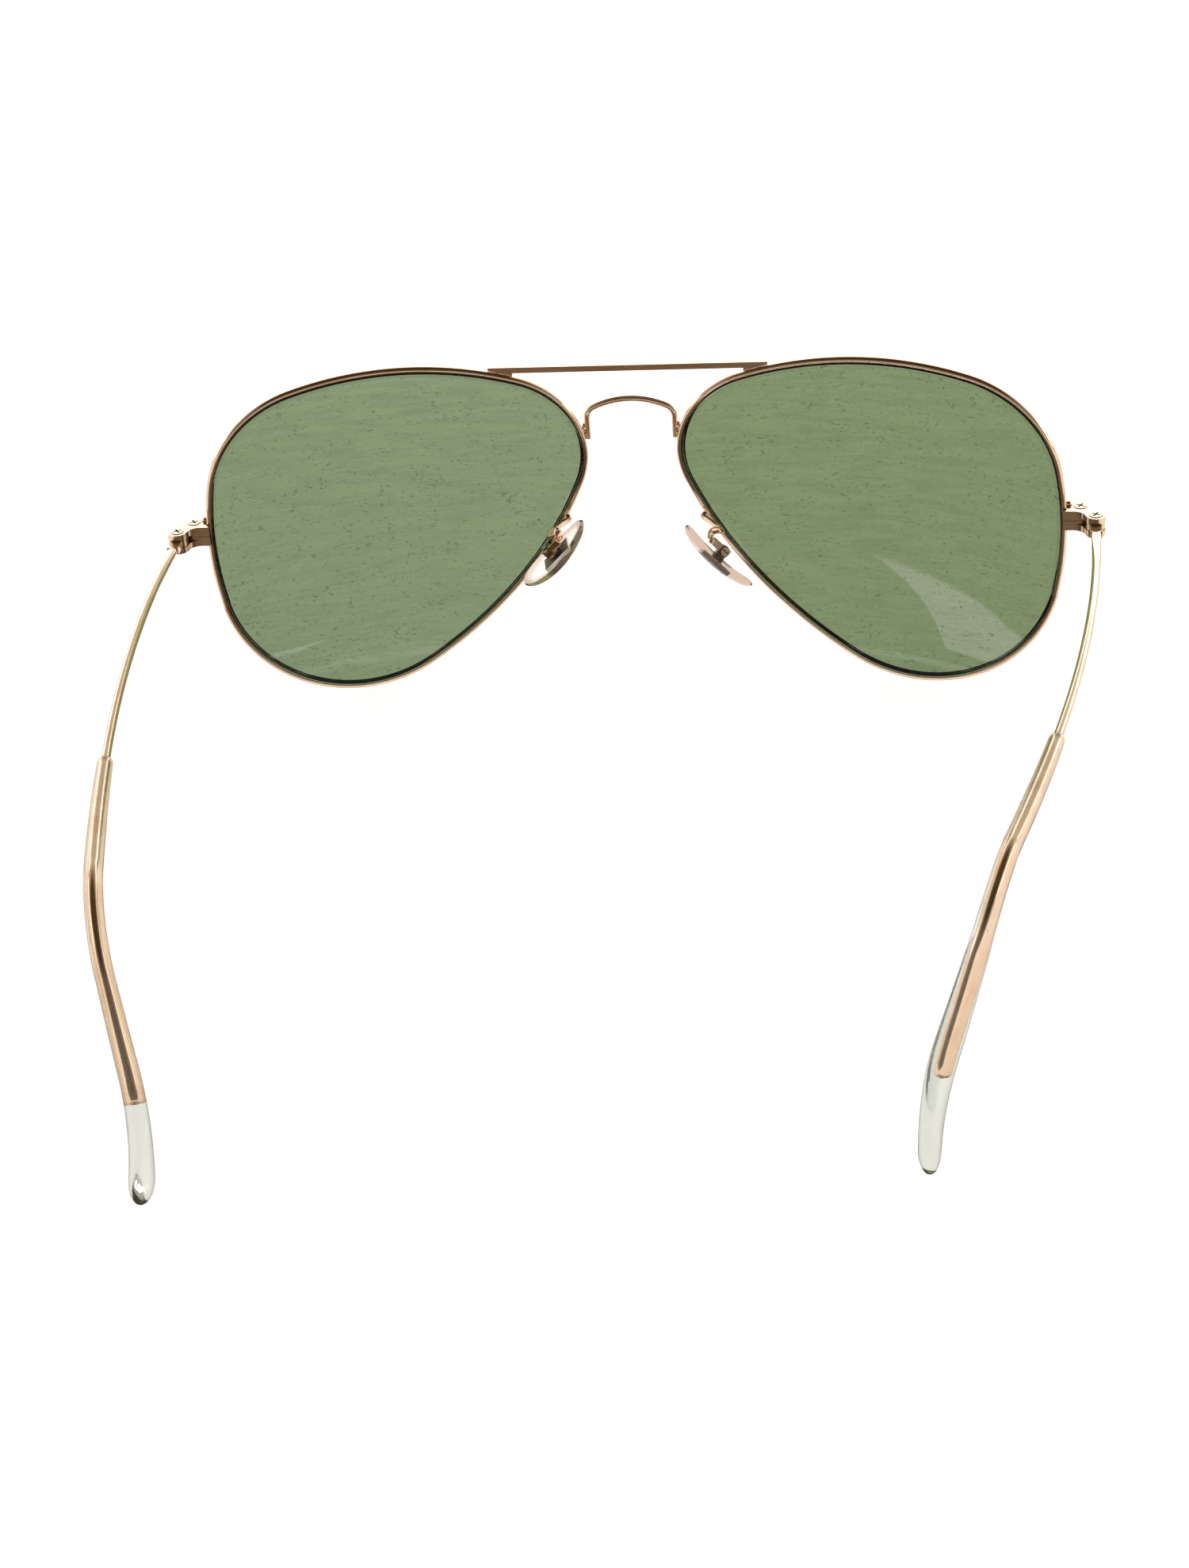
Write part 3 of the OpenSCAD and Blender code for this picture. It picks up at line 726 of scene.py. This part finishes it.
def mirrored_floor(tree):
    """Colour of the floor in reflections: dim under the camera, pale beyond, with the bright strip."""
    span = node(tree, "VectorMath", operation="LENGTH")
    tree.links.new(within(tree, DIM_AT, DIM_HALF), span.inputs[0])
    pale = fit(tree, span.outputs["Value"], 0.80, 1.15, 0.0, 1.0)
    far = fit(tree, parts_of(tree, object_coords(tree))["Y"], -0.045, 0.005, 0.0, 1.0)
    dim = mix(tree, far, NEAR_COLOUR, FAR_COLOUR)
    strip = parts_of(tree, within(tree, STRIP_AT, STRIP_HALF, STRIP_TURN))
    across, along = (math_node(tree, "ABSOLUTE", strip[axis], 0.0) for axis in "XY")
    in_strip = fit(tree, math_node(tree, "MAXIMUM", across, along), 0.93, 1.0, 1.0, 0.0)
    return mix(tree, in_strip, mix(tree, pale, dim, PALE_COLOUR), STRIP_COLOUR)


def floor_material():
    """White floor that glows a little; where metal and glass mirror it, its mirrored colour shows."""
    mat, tree, shader = material("pale_floor", Roughness=0.9, Specular_IOR_Level=0.0)
    shader.inputs["Base Color"].default_value = (0.9, 0.9, 0.9, 1)
    shader.inputs["Emission Color"].default_value = (1, 1, 1, 1)
    shader.inputs["Emission Strength"].default_value = 0.85
    mirrored = node(tree, "Emission")
    tree.links.new(mirrored_floor(tree), mirrored.inputs["Color"])
    # A ray through rough glass counts as glossy too, and it should see the white floor.
    path = node(tree, "LightPath")
    straight = math_node(tree, "SUBTRACT", 1.0, path.outputs["Is Transmission Ray"])
    reflected = math_node(tree, "MULTIPLY", path.outputs["Is Glossy Ray"], straight)
    choose = node(tree, "MixShader")
    tree.links.new(reflected, choose.inputs[0])
    tree.links.new(shader.outputs[0], choose.inputs[1])
    tree.links.new(mirrored.outputs[0], choose.inputs[2])
    tree.links.new(choose.outputs[0], tree.nodes["Material Output"].inputs["Surface"])
    return mat


corners = [(x * FLOOR_HALF, y * FLOOR_HALF, FLOOR_Z) for x, y in ((-1, -1), (1, -1), (1, 1), (-1, 1))]
floor = make("floor", corners, [(0, 1, 2, 3)], floor_material())

scene = bpy.context.scene
scene.view_settings.view_transform = "Standard"
world = bpy.data.worlds.new("studio")
scene.world = world
world.use_nodes = True
tree = world.node_tree
back = tree.nodes["Background"]
back.inputs["Strength"].default_value = 1.0
ways = node(tree, "TexCoord").outputs["Generated"]


def facing(direction):
    """How far a ray of the sky points along a direction, from -1 to 1."""
    dot = node(tree, "VectorMath", operation="DOT_PRODUCT")
    tree.links.new(ways, dot.inputs[0])
    dot.inputs[1].default_value = Vector(direction).normalized()
    return dot.outputs["Value"]


# A pale horizon under a dim warm ceiling, darker behind the camera.
height = facing((0, 0, 1))
ramp_node = node(tree, "ValToRGB")
ramp_node.color_ramp.interpolation = "EASE"
stops = ramp_node.color_ramp.elements
stops[0].color = (0.85, 0.83, 0.80, 1)
for at, colour in ((0.30, (0.68, 0.65, 0.61)), (0.56, (0.56, 0.52, 0.47)),
                   (0.70, (0.30, 0.24, 0.18)), (0.84, (0.070, 0.042, 0.013))):
    stop = stops.new(at)
    stop.color = (*colour, 1)
stops.remove(stops[-1])
tree.links.new(height, ramp_node.inputs["Fac"])
camera_side = fit(tree, facing((0, 1, 0)), -0.1, 0.75, 1.0, 0.25)
dimmed = node(tree, "VectorMath", operation="SCALE")
tree.links.new(ramp_node.outputs["Color"], dimmed.inputs[0])
tree.links.new(camera_side, dimmed.inputs["Scale"])
tree.links.new(dimmed.outputs["Vector"], back.inputs["Color"])


def soft_light(name, at, toward, size, radiance):
    """A softbox that shows in reflections and not to the camera."""
    data = bpy.data.lights.new(name, "AREA")
    data.shape = "RECTANGLE"
    data.size, data.size_y = size
    data.energy = 4 * size[0] * size[1] * radiance
    lamp = bpy.data.objects.new(name, data)
    lamp.location = at
    lamp.rotation_euler = (Vector(toward) - Vector(at)).to_track_quat("-Z", "Y").to_euler()
    lamp.visible_camera = False
    scene.collection.objects.link(lamp)


RADIANCE = 1.3
soft_light("front_box", (0.0, -0.30, 0.115), (0, 0, 0.06), (0.9, 0.10), RADIANCE)
for side, word in SIDES:
    soft_light(word + "_box", (side * 0.42, -0.05, 0.13), (0, 0, 0.03), (0.30, 0.13), RADIANCE)

# Camera: where it stands and its roll in radians, its distance in mm and the point it looks at.
AZ, EL, ROLL = -0.1128934, 0.565558, -0.0700728
DISTANCE = 348.42
TARGET = FRONT + Vector((0.0949, 81.4056, 3.4741))
away = Vector((math.sin(AZ) * math.cos(EL), math.cos(AZ) * math.cos(EL), math.sin(EL)))
right = (-away).cross(Vector((0, 0, 1))).normalized()
up = right.cross(-away)
cam_x = math.cos(ROLL) * right + math.sin(ROLL) * up
cam_y = -math.sin(ROLL) * right + math.cos(ROLL) * up
camera_data = bpy.data.cameras.new("camera")
camera_data.sensor_width = 36.0
camera_data.lens = 62.68
camera_data.clip_start = 0.01
camera_data.clip_end = 20.0
camera = bpy.data.objects.new("camera", camera_data)
placed = Matrix((cam_x, cam_y, away)).transposed().to_4x4()
placed.translation = (TARGET + away * DISTANCE) * MM
camera.matrix_world = placed
scene.collection.objects.link(camera)
scene.camera = camera
